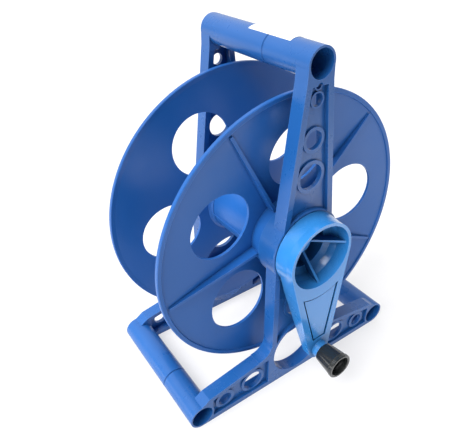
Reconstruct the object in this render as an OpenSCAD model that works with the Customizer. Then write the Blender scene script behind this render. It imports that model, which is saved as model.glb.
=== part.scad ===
// Line storage reel: two moulded side frames joined by split tubes carry a
// dished-flange reel between them, turned by a cupped crank with a free knob.
// X runs along the base bars, Y along the axle (crank side is -Y), Z is up.
// The origin is the centre of the footprint, on the surface the reel stands on.

/* [Reel] */
// Diameter of both flanges
flange_d = 300; // [290:1:306]
// Holes in each flange, with one rib between each pair
flange_holes = 5; // [4:1:6]
// Diameter of each flange hole
flange_hole_d = 67.8; // [40:0.2:70]
// Radius of the circle that the flange hole centres lie on
flange_hole_pitch_r = 86; // [80:0.5:92]
// Angle of the first hole in the crank-side flange, from +X towards +Z
first_hole_deg = 10.7; // [0:0.1:72]
// Thickness of the flange discs
flange_t = 2.8; // [2.2:0.1:3.6]
// How far each flange's centre is dished in from its rim
dish_depth = 11; // [8:0.5:13]
// Distance between the outer faces of the two rims
reel_w = 103; // [99:0.5:104]
// Diameter of the drum that the line winds on
drum_d = 72; // [70:1:76]

/* [Frame] */
// Distance between the outer faces of the two side frames
frame_w = 156; // [154:1:160]
// Height of the axle above the ground
axle_z = 180; // [176:1:184]
// Height of the handle's centre
handle_z = 358.5; // [354:0.5:364]
// Distance from the middle to each base tube's centre
base_tube_x = 129.4; // [124:0.2:134]
// Outer diameter of the handle and base tubes
tube_d = 28.66; // [27:0.02:30]
// Wall thickness of the tubes
tube_wall = 1.93; // [1.8:0.01:2.2]
// Depth of a side frame, face to back
frame_depth = 15; // [13:0.5:16]
// Depth of the recessed panels in the outer face
panel_recess = 4; // [3:0.5:5]
// Diameter of the large round opening above the base bar
arch_d = 70; // [60:1:72]
// Diameter of the round hole in the leg, between that opening and the hub
leg_hole_d = 38; // [30:1:42]
// How far the joints of the split tubes lie from the middle, towards the crank
seam_out = 19; // [10:1:24]

/* [Crank] */
// Distance from the axle to the knob's axis
crank_r = 130; // [120:1:132]
// Direction of the crank arm, from +X towards +Z
crank_deg = -85.8; // [-90:0.1:-80]
// How far the cup and the arm's face stand out from the middle of the reel
crank_face = 100.4; // [98:0.2:104]
// Outer diameter of the cup at its rim
cup_rim_d = 73.8; // [72:0.2:75]
// Length of the knob
knob_len = 26.1; // [22:0.1:32]

/* [Hidden] */
$fn = 96;

// All axial sizes below are distances out from the middle plane of the reel.
face = frame_w / 2;
back = face - frame_depth;
tube_r = tube_d / 2;
bore_r = tube_r - tube_wall;

// Side frame
upright_top_z = handle_z - 13.5;
upright_half_w = 14.5;
upright_taper = 0.115;
leg_half_w = 38;
bar_top_mid_z = 47;
bar_top_end_z = 34.8;
bar_end_x = base_tube_x - 9.4;
fillet_r = 18;
rim_w = 6.2;
bar_rim_w = 4.5;
back_recess = 8.5;
arch_z = 40;
arch_lip = 3.2;
ring_drop = 2.2;
hub_r = 41.4;
barrel_end = 54;
journal_r = 32.95;
fit = 0.05;
// Lightening holes: [x, z, hole radius, radius of the raised ring round it]
UPRIGHT_HOLES = [[0, handle_z - 17.8, 3, 4.2], [0, handle_z - 29.8, 5.9, 7.3],
                 [0, axle_z + 113, 9, 12], [0, axle_z + 77, 12.8, 16.2],
                 [0, axle_z - 72, leg_hole_d / 2, leg_hole_d / 2 + 3.4]];
BAR_HOLES = [[62.5, 21.5, 11.8, 15], [99.7, 18.8, 8, 11.8]];

// Reel
flange_r = flange_d / 2;
rim_out = reel_w / 2;
rim_step = 1.6;
hub_out = rim_out - dish_depth;
drum_r = drum_d / 2;
drum_wall = 3;
journal_bore_r = 28;
journal_end = 72;
boss_r = 39;
boss_end = 53.4;
rib_t = 3;
rib_end_r = flange_r - 7;
bolt_r = 4;
hole_step = 360 / flange_holes;

// Crank and far cap
cup_back = face + 0.5;
cup_back_r = 39.35;
cup_rim_r = cup_rim_d / 2;
cup_inner_r = 34.8;
cup_floor = 76.8;
plate_r = 32.6;
plate_in = journal_end + 0.6;
spigot_r = 27.9;
spigot_in = 62;
spigot_bore_r = spigot_r - 4;
nut_boss_r = 9.5;
nut_boss_in = 63.2;
nut_boss_out = 73.6;
nut_af = 13;
nut_t = 6.5;
nut_in = nut_boss_in + 1.2;
arm_tip_r = 14;
arm_root_r = 38;
arm_back_root = 80.4;
arm_back_tip = 90;
arm_wall = 3;
panel_drop = 3;
pad_drop = 0.8;
groove_w = 1.8;
panel_arc_r = 49;
panel_end = 114;
knob_boss_r = 9.4;
knob_boss_out = 107;
knob_start = knob_boss_out + 0.4;
knob_end = knob_start + knob_len;
pin_r = 4;
thread_r = 2.9;
cap_out = 84;
head_af = 13;
head_h = 5.3;
washer_t = 1.6;
cap_floor = 76.4;

// Joints of the split tubes
sleeve_r = bore_r - 0.08;
sleeve_wall = 4;
sleeve_len = 72;
screw_from_seam = 18;
screw_head_r = 3.2;
slot_long = 3.6;
slot_wide = 0.7;
screw_head_h = 1.8;
screw_seat = 11.8;
screw_r = 1.65;
seam_chamfer = 0.9;
seam_gap = 0.4;

// Label: from label_start to label_end along the handle
label_t = 0.3;
label_half_w = 7.2;
label_start = -47;
label_end = 9;

// The footprint is centred between the knob's end and the far cap.
shift_y = (knob_end - cap_out) / 2;

blue = "#2f6fd0";
crank_blue = "#3b8ff0";
steel = "#b8bcc2";

function upright_w(z) = upright_half_w + (upright_top_z - z) * upright_taper;

// Extrudes an X-Z outline between two distances on the crank side.
module slab(outer, inner)
    translate([0, -inner, 0]) rotate([90, 0, 0])
        linear_extrude(outer - inner) children();

// Turns an outline of [radius, distance out] round the Y axis, on the crank side.
module turned(points)
    rotate([90, 0, 0]) rotate_extrude() polygon(points);

// A turned part whose axis is the axle.
module on_axle() translate([0, 0, axle_z]) children();

module both_x() {
    children();
    mirror([1, 0, 0]) children();
}

module placed() translate([0, shift_y, 0]) children();

// ---------------------------------------------------------------- side frames

module bar_outline() {
    polygon([[0, 0], [base_tube_x, 0], [base_tube_x, tube_d], [bar_end_x, bar_top_end_z],
             [50, bar_top_mid_z], [0, bar_top_mid_z]]);
    translate([base_tube_x, tube_r]) circle(tube_r);
}

module leg_fillet() {
    difference() {
        translate([leg_half_w - 1, bar_top_mid_z - 3]) square([fillet_r + 1, fillet_r + 3]);
        translate([leg_half_w + fillet_r, bar_top_mid_z + fillet_r]) circle(fillet_r);
    }
}

module frame_outline() {
    both_x() {
        bar_outline();
        leg_fillet();
        translate([-1, bar_top_mid_z - 5]) square([leg_half_w + 1, axle_z - bar_top_mid_z + 5]);
    }
    translate([0, axle_z]) circle(hub_r - 2);
    polygon([[-upright_w(axle_z), axle_z], [upright_w(axle_z), axle_z],
             [upright_half_w, upright_top_z], [tube_r - 0.3, handle_z], [0.3 - tube_r, handle_z],
             [-upright_half_w, upright_top_z]]);
    translate([0, handle_z]) circle(tube_r);
}

module upright_panel() {
    low = axle_z + 20;
    high = upright_top_z - 4;
    difference() {
        polygon([[rim_w - upright_w(low), low], [upright_w(low) - rim_w, low],
                 [upright_w(high) - rim_w, high], [rim_w - upright_w(high), high]]);
        translate([0, axle_z]) circle(hub_r - 2);
    }
}

module leg_panel() {
    w = leg_half_w - rim_w;
    difference() {
        translate([-w, arch_z]) square([2 * w, axle_z - arch_z]);
        translate([0, axle_z]) circle(hub_r - 2);
        translate([0, arch_z]) circle(arch_d / 2 + arch_lip);
    }
}

module bar_panel() {
    inner_x = arch_d / 2 + arch_lip + 4;
    outer_x = bar_end_x - 4;
    polygon([[inner_x, rim_w], [outer_x, rim_w], [outer_x, bar_top_end_z - bar_rim_w],
             [50, bar_top_mid_z - bar_rim_w], [inner_x, bar_top_mid_z - bar_rim_w]]);
}

module frame_panels() {
    upright_panel();
    leg_panel();
    both_x() bar_panel();
}

module holes_of(list, k) {
    for (h = list) translate([h[0], h[1]]) circle(h[k]);
}

module all_holes(k) {
    holes_of(UPRIGHT_HOLES, k);
    both_x() holes_of(BAR_HOLES, k);
}

// One part of a split tube, from its joint to the side frame's outer face.
module half_tube(x, z, start) {
    translate([x, 0, z]) difference() {
        turned([[0, start], [tube_r - seam_chamfer, start], [tube_r, start + seam_chamfer],
                [tube_r, face], [0, face]]);
        turned([[0, start - 1], [bore_r, start - 1], [bore_r, face + 1], [0, face + 1]]);
        translate([0, -start - screw_from_seam, -tube_r - 1])
            cylinder(r = screw_head_r + 0.3, h = tube_r);
    }
}

// tube_start is where its parts of the split tubes begin, out from the middle plane.
module side_frame(tube_start) {
    difference() {
        union() {
            difference() {
                slab(face, back) frame_outline();
                slab(face + 1, face - panel_recess) frame_panels();
                slab(back + back_recess, back - 1) frame_panels();
            }
            slab(face - ring_drop, back + back_recess + 1) intersection() {
                all_holes(3);
                frame_outline();
            }
            on_axle() turned([[0, barrel_end], [hub_r, barrel_end], [hub_r, face - 1],
                              [hub_r - 1, face], [0, face]]);
        }
        on_axle() turned([[0, barrel_end - 1], [journal_r + fit, barrel_end - 1],
                          [journal_r + fit, face + 1], [0, face + 1]]);
        slab(face + 1, back - 1) all_holes(2);
        slab(face + 1, back - 1) translate([0, arch_z]) circle(arch_d / 2);
        for (p = [[0, handle_z], [base_tube_x, tube_r], [-base_tube_x, tube_r]])
            slab(face + 1, back - 1) translate(p) circle(bore_r);
    }
    half_tube(0, handle_z, tube_start);
    half_tube(base_tube_x, tube_r, tube_start);
    half_tube(-base_tube_x, tube_r, tube_start);
}

module near_side_frame()
    color(blue) placed() side_frame(seam_out + seam_gap / 2);

module far_side_frame()
    color(blue) placed() mirror([0, 1, 0]) side_frame(seam_gap / 2 - seam_out);

// ----------------------------------------------------------------------- reel

// Dished disc with hub boss, journal, drum seat and ribs; hole_deg places the first hole.
module flange(hole_deg) {
    cone_r = flange_r - 5;
    on_axle() {
        difference() {
            union() {
                turned([[0, hub_out - flange_t], [boss_r + 2, hub_out - flange_t],
                        [cone_r, rim_out - rim_step - flange_t],
                        [flange_r - 0.7, rim_out - rim_step - flange_t],
                        [flange_r, rim_out - rim_step - flange_t + 0.7], [flange_r, rim_out - 0.7],
                        [flange_r - 0.7, rim_out], [cone_r + 0.9, rim_out],
                        [cone_r + 0.4, rim_out - 0.5], [cone_r, rim_out - rim_step],
                        [boss_r + 2, hub_out], [0, hub_out]]);
                turned([[0, hub_out - 1], [boss_r, hub_out - 1], [boss_r, boss_end - 0.8],
                        [boss_r - 0.8, boss_end], [0, boss_end]]);
                turned([[0, boss_end - 1], [journal_r, boss_end - 1], [journal_r, journal_end],
                        [0, journal_end]]);
            }
            for (i = [0:flange_holes - 1])
                rotate([0, -(hole_deg + hole_step * i), 0]) translate([flange_hole_pitch_r, 0, 0])
                    turned([[0, hub_out - 10], [flange_hole_d / 2, hub_out - 10],
                            [flange_hole_d / 2, rim_out + 10], [0, rim_out + 10]]);
            turned([[0, hub_out + 4], [journal_bore_r, hub_out + 4], [journal_bore_r, journal_end + 1],
                    [0, journal_end + 1]]);
            turned([[0, 0], [bolt_r + 0.2, 0], [bolt_r + 0.2, face], [0, face]]);
        }
        flange_ribs(hole_deg);
        drum_seat();
    }
}

// Radial ribs, deep at the hub and running out where the dish meets the rim.
module flange_ribs(hole_deg) {
    for (i = [0:flange_holes - 1])
        rotate([0, -(hole_deg + hole_step * (i + 0.5)), 0])
            translate([0, 0, -rib_t / 2]) linear_extrude(rib_t)
                polygon([[boss_r - 3, -hub_out + 1], [boss_r - 3, -rim_out], [rib_end_r, -rim_out],
                         [rib_end_r, -rim_out + rim_step + 1.4]]);
}

// Ring that locates the drum's bore, and the flared collar round its end.
module drum_seat() {
    seat = hub_out - flange_t;
    in_r = drum_r - drum_wall - fit;
    turned([[in_r - 3, seat + 1], [in_r - 3, seat - 6], [in_r - 0.6, seat - 6], [in_r, seat - 5.4],
            [in_r, seat + 1]]);
    turned([[drum_r + fit, seat + 1], [drum_r + fit, seat - 4], [drum_r + 0.6, seat - 4],
            [drum_r + 1.6, seat - 1.8], [drum_r + 4, seat], [drum_r + 4, seat + 1]]);
}

module near_flange() color(blue) placed() flange(first_hole_deg);

module far_flange() color(blue) placed() mirror([0, 1, 0]) flange(first_hole_deg + hole_step / 2);

// Tube that the line winds on, with a shallow ridge in line with each crank-side rib.
module drum_core() {
    half = hub_out - flange_t;
    ridge_half = half - 4.5;
    color(blue) placed() on_axle() difference() {
        union() {
            turned([[0, -half], [drum_r, -half], [drum_r, half], [0, half]]);
            for (i = [0:flange_holes - 1])
                rotate([0, -(first_hole_deg + hole_step * (i + 0.5)), 0])
                    translate([drum_r - 1, -ridge_half, -1.4]) cube([2, 2 * ridge_half, 2.8]);
        }
        turned([[0, -half - 1], [drum_r - drum_wall, -half - 1], [drum_r - drum_wall, half + 1],
                [0, half + 1]]);
    }
}

// ---------------------------------------------------------------------- crank

// Tapered outline of the arm along +X: two circles and their common tangents.
module arm_outline(root_r, tip_r) {
    lean = asin((root_r - tip_r) / crank_r);
    circle(root_r);
    translate([crank_r, 0]) circle(tip_r);
    polygon([[root_r * sin(lean), root_r * cos(lean)], [crank_r + tip_r * sin(lean), tip_r * cos(lean)],
             [crank_r + tip_r * sin(lean), -tip_r * cos(lean)], [root_r * sin(lean), -root_r * cos(lean)]]);
}

// Panel of the arm's face, bounded by an arc round the cup; inset draws it smaller all round.
module arm_panel(inset) {
    start_w = 24.2 - inset;
    end_w = 8.8 - inset;
    start_x = 40;
    end_x = panel_end - inset;
    difference() {
        polygon([[start_x, -start_w], [end_x, -end_w], [end_x, end_w], [start_x, start_w]]);
        circle(panel_arc_r + inset);
    }
}

// Space behind the arm: everything nearer the frame than its sloping back.
module arm_back_cut() {
    translate([0, 0, -60]) linear_extrude(120)
        polygon([[-60, -arm_back_root], [cup_back_r, -arm_back_root], [crank_r, -arm_back_tip],
                 [crank_r + 40, -arm_back_tip], [crank_r + 40, 0], [-60, 0]]);
}

module arm() {
    skin = crank_face - panel_drop - arm_wall;
    difference() {
        slab(crank_face, face) arm_outline(arm_root_r, arm_tip_r);
        slab(crank_face + 1, crank_face - panel_drop) arm_panel(0);
        slab(skin, face - 1) difference() {
            arm_outline(arm_root_r - arm_wall, arm_tip_r - arm_wall);
            circle(cup_back_r);
            translate([crank_r, 0]) circle(arm_tip_r);
        }
        arm_back_cut();
    }
    slab(crank_face - pad_drop, skin + 1) arm_panel(groove_w);
    translate([crank_r, 0, 0]) turned([[0, crank_face - 1], [knob_boss_r + 0.6, crank_face - 1],
                                       [knob_boss_r + 0.6, crank_face], [knob_boss_r, knob_boss_out],
                                       [0, knob_boss_out]]);
}

// Sloping webs that run from the cup's rim down to the boss that holds the nut.
module cup_gussets() {
    web_t = 2.4;
    boss_side = nut_boss_in + 2.5;
    ring_side = plate_in + 1;
    for (i = [0:3])
        rotate([0, 90 * i, 0]) translate([0, 0, -web_t / 2]) linear_extrude(web_t)
            polygon([[nut_boss_r - 1, -boss_side], [nut_boss_r - 1, -nut_boss_out + 0.8],
                     [cup_inner_r + 0.2, -crank_face + 3], [cup_inner_r + 0.2, -cup_back - 3],
                     [plate_r - 0.6, -cup_back - 1], [plate_r - 0.6, -ring_side],
                     [spigot_bore_r + 1, -ring_side], [spigot_bore_r + 1, -boss_side]]);
}

// Cup wall with the ring and spigot that sit in the flange's journal, and the nut's boss.
module cup_solid() {
    turned([[spigot_bore_r, spigot_in], [spigot_r, spigot_in + 0.8], [spigot_r, plate_in],
            [plate_r, plate_in], [plate_r, cup_back], [cup_back_r, cup_back],
            [cup_rim_r + 0.4, crank_face - 0.8], [cup_rim_r, crank_face], [spigot_bore_r, crank_face]]);
    turned([[0, nut_boss_in], [nut_boss_r, nut_boss_in], [nut_boss_r, nut_boss_out - 0.8],
            [nut_boss_r - 0.8, nut_boss_out], [0, nut_boss_out]]);
}

module cup_hollow() {
    turned([[0, cup_floor], [spigot_bore_r + 1, cup_floor], [plate_r - 2.2, cup_floor + 3.4],
            [cup_inner_r - 1.4, cup_floor + 10], [cup_inner_r, crank_face + 0.1],
            [0, crank_face + 0.1]]);
}

module hex(af, h) rotate([90, 0, 0]) cylinder(r = af / sqrt(3), h = h, $fn = 6);

module crank() {
    color(crank_blue) placed() on_axle() rotate([0, -crank_deg, 0]) {
        difference() {
            union() {
                cup_solid();
                arm();
            }
            cup_hollow();
            translate([0, 2 - nut_in, 0]) hex(nut_af + 0.2, nut_t + 2.2);
            translate([0, -nut_in, 0])
                turned([[0, -2], [bolt_r + 0.2, -2], [bolt_r + 0.2, nut_t + 1.6], [0, nut_t + 1.6]]);
            translate([crank_r, 0, 0])
                turned([[0, 92], [thread_r + fit, 92], [thread_r + fit, knob_boss_out + 1],
                        [0, knob_boss_out + 1]]);
        }
        cup_gussets();
    }
}

module crank_nut() {
    color(steel) placed() on_axle() rotate([0, -crank_deg, 0]) difference() {
        translate([0, -nut_in, 0]) hex(nut_af, nut_t);
        turned([[0, nut_in - 1], [bolt_r + 0.02, nut_in - 1], [bolt_r + 0.02, nut_in + nut_t + 1],
                [0, nut_in + nut_t + 1]]);
    }
}

// Bolt through the whole reel, from the far cap to the nut held in the crank.
module axle_bolt() {
    seat = cap_floor + washer_t;
    color(steel) placed() on_axle() union() {
        mirror([0, 1, 0]) translate([0, -seat, 0]) intersection() {
            hex(head_af, head_h);
            turned([[0, 0], [7.6, 0], [7.6, head_h - 0.9], [6.4, head_h], [0, head_h]]);
        }
        turned([[0, -seat - 0.1], [bolt_r, -seat - 0.1], [bolt_r, nut_in + nut_t + 0.4],
                [bolt_r - 0.8, nut_in + nut_t + 1.2], [0, nut_in + nut_t + 1.2]]);
    }
}

module axle_washer() {
    color(steel) placed() on_axle() mirror([0, 1, 0])
        turned([[bolt_r + 0.2, cap_floor], [8.5, cap_floor], [8.5, cap_floor + washer_t],
                [bolt_r + 0.2, cap_floor + washer_t]]);
}

// Cap that keeps the far journal in its frame and takes the bolt's head.
module far_hub_cap() {
    color(crank_blue) placed() on_axle() mirror([0, 1, 0])
        turned([[bolt_r + 0.2, plate_in], [spigot_bore_r, plate_in], [spigot_bore_r, spigot_in],
                [spigot_r, spigot_in + 0.8], [spigot_r, plate_in], [plate_r, plate_in],
                [plate_r, cup_back], [cup_back_r, cup_back], [cup_back_r, cap_out - 3],
                [cup_back_r - 3, cap_out], [13, cap_out], [11, cap_floor], [bolt_r + 0.2, cap_floor]]);
}

// ----------------------------------------------------------------------- knob

module at_knob() {
    placed() on_axle() rotate([0, -crank_deg, 0]) translate([crank_r, 0, 0]) children();
}

knob_floor = knob_end - 12;

module crank_knob() {
    neck_r = 11;
    end_r = 14.6;
    lip = 4.1;
    // Flare of the grip, from the neck to the end ring.
    flare_len = knob_len - lip - 1.8;
    flare = [for (i = [0:10]) [neck_r + 2.9 * pow(i / 10, 0.9), knob_start + 0.8 + flare_len * i / 10]];
    color("#1d1d1f") at_knob()
        turned(concat([[pin_r + fit, knob_start], [neck_r - 0.7, knob_start]], flare,
                      [[end_r - 1.1, knob_end - lip - 0.4], [end_r, knob_end - lip + 0.6],
                       [end_r, knob_end - 0.8], [end_r - 0.8, knob_end], [end_r - 2.6, knob_end],
                       [end_r - 3.2, knob_end - 0.8], [end_r - 4.4, knob_floor],
                       [pin_r + fit, knob_floor]]));
}

module knob_screw() {
    shoulder_end = knob_floor + 0.7;
    head_in = shoulder_end + 1.2;
    head_out = head_in + 3.4;
    color(steel) at_knob() difference() {
        turned([[0, 93], [thread_r - 0.6, 93], [thread_r, 93.8], [thread_r, knob_boss_out],
                [pin_r, knob_boss_out], [pin_r, shoulder_end], [thread_r, shoulder_end],
                [thread_r, head_in], [6.4, head_in], [6.4, head_out - 1.6], [5.2, head_out - 0.5],
                [3.4, head_out], [0, head_out]]);
        for (a = [0, 90])
            rotate([0, 20 + a, 0]) translate([-3, -head_out - 1, -0.6]) cube([6, 3, 1.2]);
    }
}

module knob_washer() {
    washer_in = knob_floor + 0.7;
    color(steel) at_knob()
        turned([[thread_r + fit, washer_in], [8.2, washer_in], [8.2, washer_in + 1.2],
                [thread_r + fit, washer_in + 1.2]]);
}

// --------------------------------------------------------- tube joints, label

module joint_sleeve(x, z) {
    color("#2a62bd") placed() translate([x, -seam_out, z]) difference() {
        turned([[sleeve_r - sleeve_wall, -sleeve_len / 2], [sleeve_r - 0.8, -sleeve_len / 2],
                [sleeve_r, -sleeve_len / 2 + 0.8], [sleeve_r, sleeve_len / 2 - 0.8],
                [sleeve_r - 0.8, sleeve_len / 2], [sleeve_r - sleeve_wall, sleeve_len / 2]]);
        for (y = [-screw_from_seam, screw_from_seam]) {
            translate([0, y, -tube_r]) cylinder(r = screw_head_r + 0.3, h = tube_r - screw_seat);
            translate([0, y, -tube_r]) cylinder(r = screw_r + fit, h = tube_r);
        }
    }
}

module joint_screws(x, z) {
    color(steel) placed() translate([x, -seam_out, z]) for (y = [-screw_from_seam, screw_from_seam])
        translate([0, y, 0]) difference() {
            union() {
                translate([0, 0, -screw_seat - screw_head_h]) cylinder(r = screw_head_r, h = screw_head_h);
                translate([0, 0, -screw_seat - 0.1]) cylinder(r = screw_r, h = 5.1);
            }
            for (a = [0, 90])
                rotate([0, 0, a]) translate([-slot_long / 2, -slot_wide / 2, -screw_seat - screw_head_h - 1])
                    cube([slot_long, slot_wide, 2]);
        }
}

module handle_sleeve() joint_sleeve(0, handle_z);

module left_base_sleeve() joint_sleeve(-base_tube_x, tube_r);

module right_base_sleeve() joint_sleeve(base_tube_x, tube_r);

module handle_joint_screws() joint_screws(0, handle_z);

module left_base_joint_screws() joint_screws(-base_tube_x, tube_r);

module right_base_joint_screws() joint_screws(base_tube_x, tube_r);

// Blank paper label wrapped over the top of the handle.
module handle_label() {
    color("white") placed() translate([0, 0, handle_z]) intersection() {
        translate([0, label_start, 0]) rotate([-90, 0, 0]) difference() {
            cylinder(r = tube_r + label_t, h = label_end - label_start);
            translate([0, 0, -1]) cylinder(r = tube_r, h = label_end - label_start + 2);
        }
        translate([-label_half_w, label_start - 1, 0])
            cube([2 * label_half_w, label_end - label_start + 2, tube_r + 2]);
    }
}

near_side_frame();
far_side_frame();
near_flange();
far_flange();
drum_core();
crank();
crank_nut();
axle_bolt();
axle_washer();
far_hub_cap();
crank_knob();
knob_screw();
knob_washer();
handle_sleeve();
left_base_sleeve();
right_base_sleeve();
handle_joint_screws();
left_base_joint_screws();
right_base_joint_screws();
handle_label();
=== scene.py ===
"""Studio view of a hand-cranked line storage reel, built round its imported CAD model.

Everything is in metres, in the CAD model's frame: X along the base bars, Y along the axle away
from the crank, Z up from the ground.
"""
import math

import bpy
from mathutils import Matrix, Vector

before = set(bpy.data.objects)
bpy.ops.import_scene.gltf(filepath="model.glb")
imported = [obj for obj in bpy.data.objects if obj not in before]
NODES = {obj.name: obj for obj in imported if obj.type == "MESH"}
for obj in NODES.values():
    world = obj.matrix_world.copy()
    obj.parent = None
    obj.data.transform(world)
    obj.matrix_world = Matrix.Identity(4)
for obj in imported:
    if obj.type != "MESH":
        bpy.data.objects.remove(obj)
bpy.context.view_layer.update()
MM = 0.001

# Camera, as an orbit round a point inside the reel.
CAMERA_TARGET = Vector((-21.07, 57.29, 163.64)) * MM
CAMERA_DISTANCE = 554.13 * MM
CAMERA_AZIMUTH = -33.54
CAMERA_ELEVATION = 33.94
CAMERA_ROLL = -1.52
LENS_MM = 38.97
SENSOR_MM = 36.0

# Floor and surroundings, as brightness.
FLOOR_HALF = 6.0
FLOOR_GREY = (0.32, 0.32, 0.325, 1)
FLOOR_GLOW = (1.0, 0.995, 1.0, 1)
FLOOR_GLOW_STRENGTH = 0.62
SKY_BRIGHT_SIDE = (0.10, 0.62, 0.78)
SKY_DIM = 0.14
SKY_BRIGHT = 1.3
SKY_FULL_AT = 0.95

# Lights: tilt of the low fills from straight down, and the height they lie at.
FILL_TILT = 145
FILL_HEIGHT = 4 * MM

# Base colours, linear RGB.
FRAME_BLUE = (0.013, 0.10, 0.34, 1)
REEL_BLUE = (0.014, 0.105, 0.37, 1)
CRANK_BLUE = (0.030, 0.225, 0.60, 1)
SLEEVE_BLUE = (0.012, 0.07, 0.24, 1)
KNOB_BLACK = (0.012, 0.014, 0.014, 1)
ZINC = (0.55, 0.56, 0.58, 1)
PAPER = (0.88, 0.88, 0.86, 1)


# ------------------------------------------------------------------ camera and stage

def make_camera():
    """Places the camera by azimuth, elevation and roll round its target."""
    azimuth, elevation, roll = (math.radians(a) for a in (CAMERA_AZIMUTH, CAMERA_ELEVATION, CAMERA_ROLL))
    back = Vector((math.sin(azimuth) * math.cos(elevation), -math.cos(azimuth) * math.cos(elevation),
                   math.sin(elevation)))
    level = Vector((math.cos(azimuth), math.sin(azimuth), 0))
    upward = back.cross(level)
    right = level * math.cos(roll) + upward * math.sin(roll)
    up = upward * math.cos(roll) - level * math.sin(roll)
    turn = Matrix((right, up, back)).transposed().to_4x4()
    data = bpy.data.cameras.new("camera")
    data.lens = LENS_MM
    data.sensor_width = SENSOR_MM
    data.sensor_fit = "HORIZONTAL"
    data.clip_start = 0.01
    camera = bpy.data.objects.new("camera", data)
    camera.matrix_world = Matrix.Translation(CAMERA_TARGET + back * CAMERA_DISTANCE) @ turn
    bpy.context.scene.collection.objects.link(camera)
    bpy.context.scene.camera = camera


def sun(name, towards, strength, softness):
    """A soft distant light; towards points from the object to the light, softness is in degrees."""
    data = bpy.data.lights.new(name, "SUN")
    data.energy = strength
    data.angle = math.radians(softness)
    light = bpy.data.objects.new(name, data)
    light.rotation_euler = (-Vector(towards)).to_track_quat("-Z", "Y").to_euler()
    bpy.context.scene.collection.objects.link(light)


def low_fill(name, x, y, size, watts, turn):
    """Light that comes up off the floor at x, y towards the reel, as a bright table top gives."""
    data = bpy.data.lights.new(name, "AREA")
    data.shape = "RECTANGLE"
    data.size, data.size_y = size
    data.energy = watts
    light = bpy.data.objects.new(name, data)
    light.location = (x, y, FILL_HEIGHT)
    light.rotation_euler = (math.radians(FILL_TILT), 0, math.radians(turn))
    light.visible_camera = False
    bpy.context.scene.collection.objects.link(light)


def make_floor():
    """Plain pale floor, lit from within just enough to stay white."""
    mesh = bpy.data.meshes.new("floor")
    corners = [(-FLOOR_HALF, -FLOOR_HALF, 0), (FLOOR_HALF, -FLOOR_HALF, 0),
               (FLOOR_HALF, FLOOR_HALF, 0), (-FLOOR_HALF, FLOOR_HALF, 0)]
    mesh.from_pydata(corners, [], [(0, 1, 2, 3)])
    floor = bpy.data.objects.new("floor", mesh)
    bpy.context.scene.collection.objects.link(floor)
    paper = bpy.data.materials.new("floor_paper")
    paper.use_nodes = True
    shader = paper.node_tree.nodes["Principled BSDF"]
    for key, value in (("Base Color", FLOOR_GREY), ("Roughness", 0.7), ("Specular IOR Level", 0.1),
                       ("Emission Color", FLOOR_GLOW), ("Emission Strength", FLOOR_GLOW_STRENGTH)):
        shader.inputs[key].default_value = value
    floor.data.materials.append(paper)


def make_surroundings():
    """White surroundings, brighter up and behind than in front, as in a tent with its lamps at the back."""
    world = bpy.data.worlds.new("surroundings")
    world.use_nodes = True
    tree = world.node_tree
    backdrop = tree.nodes["Background"]
    backdrop.inputs["Color"].default_value = (1.0, 1.0, 1.0, 1)
    direction = tree.nodes.new("ShaderNodeTexCoord")
    along = tree.nodes.new("ShaderNodeVectorMath")
    along.operation = "DOT_PRODUCT"
    along.inputs[1].default_value = SKY_BRIGHT_SIDE
    strength = tree.nodes.new("ShaderNodeMapRange")
    for key, value in (("From Min", 0.0), ("From Max", SKY_FULL_AT), ("To Min", SKY_DIM),
                       ("To Max", SKY_BRIGHT)):
        strength.inputs[key].default_value = value
    tree.links.new(direction.outputs["Generated"], along.inputs[0])
    tree.links.new(along.outputs["Value"], strength.inputs["Value"])
    tree.links.new(strength.outputs["Result"], backdrop.inputs["Strength"])
    bpy.context.scene.world = world


def make_lights():
    """A soft key light from the upper left and two faint fills that rise off the floor."""
    sun("key", (-0.66, -0.04, 0.74), strength=4.3, softness=40)
    low_fill("front_bounce", 0.05, -0.27, size=(0.8, 0.3), watts=0.7, turn=0)
    low_fill("left_bounce", -0.40, 0.02, size=(0.5, 0.3), watts=1.0, turn=-90)


# ------------------------------------------------------------------------ materials

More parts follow.
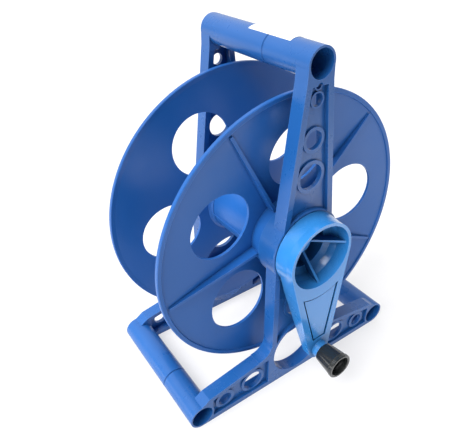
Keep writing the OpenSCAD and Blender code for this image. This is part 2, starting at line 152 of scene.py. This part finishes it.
class Graph:
    """A material's node tree, with short calls to add and join nodes."""

    def __init__(self, name):
        self.material = bpy.data.materials.new(name)
        self.material.use_nodes = True
        self.tree = self.material.node_tree
        self.shader = self.tree.nodes["Principled BSDF"]

    def node(self, kind, **settings):
        made = self.tree.nodes.new("ShaderNode" + kind)
        for key, value in settings.items():
            setattr(made, key, value)
        return made

    def join(self, source, target):
        self.tree.links.new(source, target)

    def noise(self, scale, detail, roughness, stretch=(1, 1, 1)):
        """Noise in object space; scale is in features per metre."""
        place = self.node("TexCoord")
        mapping = self.node("Mapping")
        mapping.inputs["Scale"].default_value = stretch
        texture = self.node("TexNoise")
        texture.inputs["Scale"].default_value = scale
        texture.inputs["Detail"].default_value = detail
        texture.inputs["Roughness"].default_value = roughness
        self.join(place.outputs["Object"], mapping.inputs["Vector"])
        self.join(mapping.outputs["Vector"], texture.inputs["Vector"])
        return texture.outputs["Fac"]

    def ramp(self, source, low, high, out_low=0.0, out_high=1.0):
        """Maps source from low..high to out_low..out_high, clamped."""
        spread = self.node("MapRange")
        for key, value in (("From Min", low), ("From Max", high), ("To Min", out_low),
                           ("To Max", out_high)):
            spread.inputs[key].default_value = value
        self.join(source, spread.inputs["Value"])
        return spread.outputs["Result"]

    def math(self, operation, a, b):
        made = self.node("Math", operation=operation)
        for socket, value in zip(made.inputs, (a, b)):
            if isinstance(value, (int, float)):
                socket.default_value = value
            else:
                self.join(value, socket)
        return made.outputs["Value"]

    def mix(self, factor, a, b):
        made = self.node("Mix", data_type="RGBA")
        for key, value in ((6, a), (7, b)):
            if isinstance(value, tuple):
                made.inputs[key].default_value = value
            else:
                self.join(value, made.inputs[key])
        self.join(factor, made.inputs[0])
        return made.outputs[2]

    def edges(self, radius):
        """1 along convex and concave edges within radius, 0 on open faces."""
        rounded = self.node("Bevel", samples=4)
        rounded.inputs["Radius"].default_value = radius
        flat = self.node("NewGeometry")
        dot = self.node("VectorMath", operation="DOT_PRODUCT")
        self.join(rounded.outputs["Normal"], dot.inputs[0])
        self.join(flat.outputs["Normal"], dot.inputs[1])
        return self.ramp(dot.outputs["Value"], 0.99, 0.85)

    def crevices(self, distance):
        """1 deep in corners and grooves, 0 on open faces."""
        open_sky = self.node("AmbientOcclusion", samples=6)
        open_sky.inputs["Distance"].default_value = distance
        return self.ramp(open_sky.outputs["AO"], 0.4, 0.9, 1.0, 0.0)

    def bump(self, heights):
        """Chains (height, strength, distance) bumps into the shader's normal."""
        last = None
        for height, strength, distance in heights:
            made = self.node("Bump")
            made.inputs["Strength"].default_value = strength
            made.inputs["Distance"].default_value = distance
            self.join(height, made.inputs["Height"])
            if last:
                self.join(last, made.inputs["Normal"])
            last = made.outputs["Normal"]
        self.join(last, self.shader.inputs["Normal"])


def shade(colour, factor):
    """The colour made lighter or darker."""
    return tuple(min(1.0, c * factor) for c in colour[:3]) + (1,)


def highlight_colour(colour):
    """Paler, greyer plastic: the colour of a painted highlight along edges."""
    return tuple(min(1.0, c * 1.5 + 0.06) for c in colour[:3]) + (1,)


def moulded_plastic(name, colour, roughness, gloss=0.5, coat=0.0, shade_reach=3 * MM, shade_depth=0.45):
    """Moulded plastic: slight flow marks, orange peel, dull handling marks, painted highlights along edges
    and painted shade in hollows.

    Painted shade darkens hollows within a set reach, by up to a set depth, and dulls their gloss there.
    """
    ior = 1.5
    coat_roughness = 0.12
    highlight_reach = 0.9 * MM
    edge_highlight = 0.5
    g = Graph(name)
    flow = g.ramp(g.noise(7, 2, 0.5, (1, 1, 0.5)), 0.35, 0.65)
    body = g.mix(flow, shade(colour, 0.93), shade(colour, 1.06))
    specks = g.ramp(g.noise(900, 2, 0.6), 0.68, 0.78, 0.0, 0.15)
    dusty = g.mix(specks, body, shade(colour, 1.35))
    # painted shade: ambient occlusion darkens the colour in corners, grooves and hollows
    hollow_shade = g.math("MULTIPLY", g.crevices(shade_reach), shade_depth)
    hollow_shaded = g.mix(hollow_shade, dusty, shade(colour, 0.22))
    # painted highlight: paler colour along edges
    edge_lit = g.mix(g.math("MULTIPLY", g.edges(highlight_reach), edge_highlight), hollow_shaded, highlight_colour(colour))
    g.join(edge_lit, g.shader.inputs["Base Color"])
    handled = g.ramp(g.noise(22, 5, 0.62), 0.42, 0.7, -0.05, 0.09)
    dulled = g.math("ADD", g.math("MULTIPLY", hollow_shade, 0.4), roughness)
    g.join(g.math("ADD", handled, dulled), g.shader.inputs["Roughness"])
    # coat and gloss fade where the painted shade lies
    unshaded = g.math("SUBTRACT", 1.0, hollow_shade)
    g.join(g.math("MULTIPLY", unshaded, coat), g.shader.inputs["Coat Weight"])
    g.join(g.math("MULTIPLY", unshaded, gloss), g.shader.inputs["Specular IOR Level"])
    g.shader.inputs["Coat Roughness"].default_value = coat_roughness
    g.shader.inputs["IOR"].default_value = ior
    peel = g.noise(520, 2, 0.5)
    scuffs = g.ramp(g.noise(70, 6, 0.7, (1, 9, 1)), 0.60, 0.66)
    g.bump([(peel, 0.12, 0.2 * MM), (scuffs, 0.05, 0.1 * MM)])
    return g.material


def zinc_steel():
    """Zinc-plated steel with a faintly cloudy, grainy surface."""
    g = Graph("zinc_steel")
    cloudy = g.mix(g.noise(260, 4, 0.6), shade(ZINC, 0.8), shade(ZINC, 1.15))
    g.join(cloudy, g.shader.inputs["Base Color"])
    g.shader.inputs["Metallic"].default_value = 1.0
    g.join(g.ramp(g.noise(180, 3, 0.6), 0.3, 0.7, 0.22, 0.42), g.shader.inputs["Roughness"])
    g.bump([(g.noise(1500, 2, 0.5), 0.1, 0.05 * MM)])
    return g.material


def label_paper():
    """Coated paper with fine fibres."""
    g = Graph("label_paper")
    cloudy = g.mix(g.noise(60, 4, 0.6), shade(PAPER, 0.95), shade(PAPER, 1.03))
    g.join(cloudy, g.shader.inputs["Base Color"])
    g.join(g.ramp(g.noise(30, 3, 0.6), 0.3, 0.7, 0.35, 0.5), g.shader.inputs["Roughness"])
    g.bump([(g.noise(1400, 4, 0.7), 0.15, 0.05 * MM)])
    return g.material


# --------------------------------------------------------------------- CAD surfaces

# Degrees between faces: merged as flat up to the first, rounded from the second.
FLAT_WITHIN = 0.4
SHARP_FROM = 32


def dress(names, material, bevel=0.0):
    """Gives CAD nodes a material and, where bevel is set, real rounded edges of that radius."""
    for name in names:
        piece = NODES[name]
        piece.data.materials.clear()
        piece.data.materials.append(material)
        if bevel:
            flatten = piece.modifiers.new("merge_flat_faces", "DECIMATE")
            flatten.decimate_type = "DISSOLVE"
            flatten.angle_limit = math.radians(FLAT_WITHIN)
            rounding = piece.modifiers.new("rounded_edges", "BEVEL")
            rounding.width = bevel
            rounding.segments = 2
            rounding.limit_method = "ANGLE"
            rounding.angle_limit = math.radians(SHARP_FROM)
            rounding.harden_normals = True


make_camera()
make_floor()
make_surroundings()
make_lights()
bpy.context.scene.view_settings.view_transform = "Standard"

frame_plastic = moulded_plastic("frame_plastic", FRAME_BLUE, 0.30, gloss=0.45)
reel_plastic = moulded_plastic("reel_plastic", REEL_BLUE, 0.34, gloss=0.32)
# deep painted shade darkens the inside of the crank's cup
crank_plastic = moulded_plastic("crank_plastic", CRANK_BLUE, 0.26, coat=0.5, shade_reach=26 * MM, shade_depth=0.9)
sleeve_plastic = moulded_plastic("sleeve_plastic", SLEEVE_BLUE, 0.4)
knob_plastic = moulded_plastic("knob_plastic", KNOB_BLACK, 0.22, coat=0.4)
steel = zinc_steel()
paper = label_paper()

dress(["near_side_frame", "far_side_frame"], frame_plastic)
dress(["near_flange", "far_flange", "drum_core"], reel_plastic, 0.4 * MM)
dress(["crank", "far_hub_cap"], crank_plastic, 0.6 * MM)
dress(["handle_sleeve", "left_base_sleeve", "right_base_sleeve"], sleeve_plastic)
dress(["crank_knob"], knob_plastic)
dress(["crank_nut", "axle_bolt", "axle_washer", "knob_screw", "knob_washer", "handle_joint_screws",
       "left_base_joint_screws", "right_base_joint_screws"], steel)
dress(["handle_label"], paper)
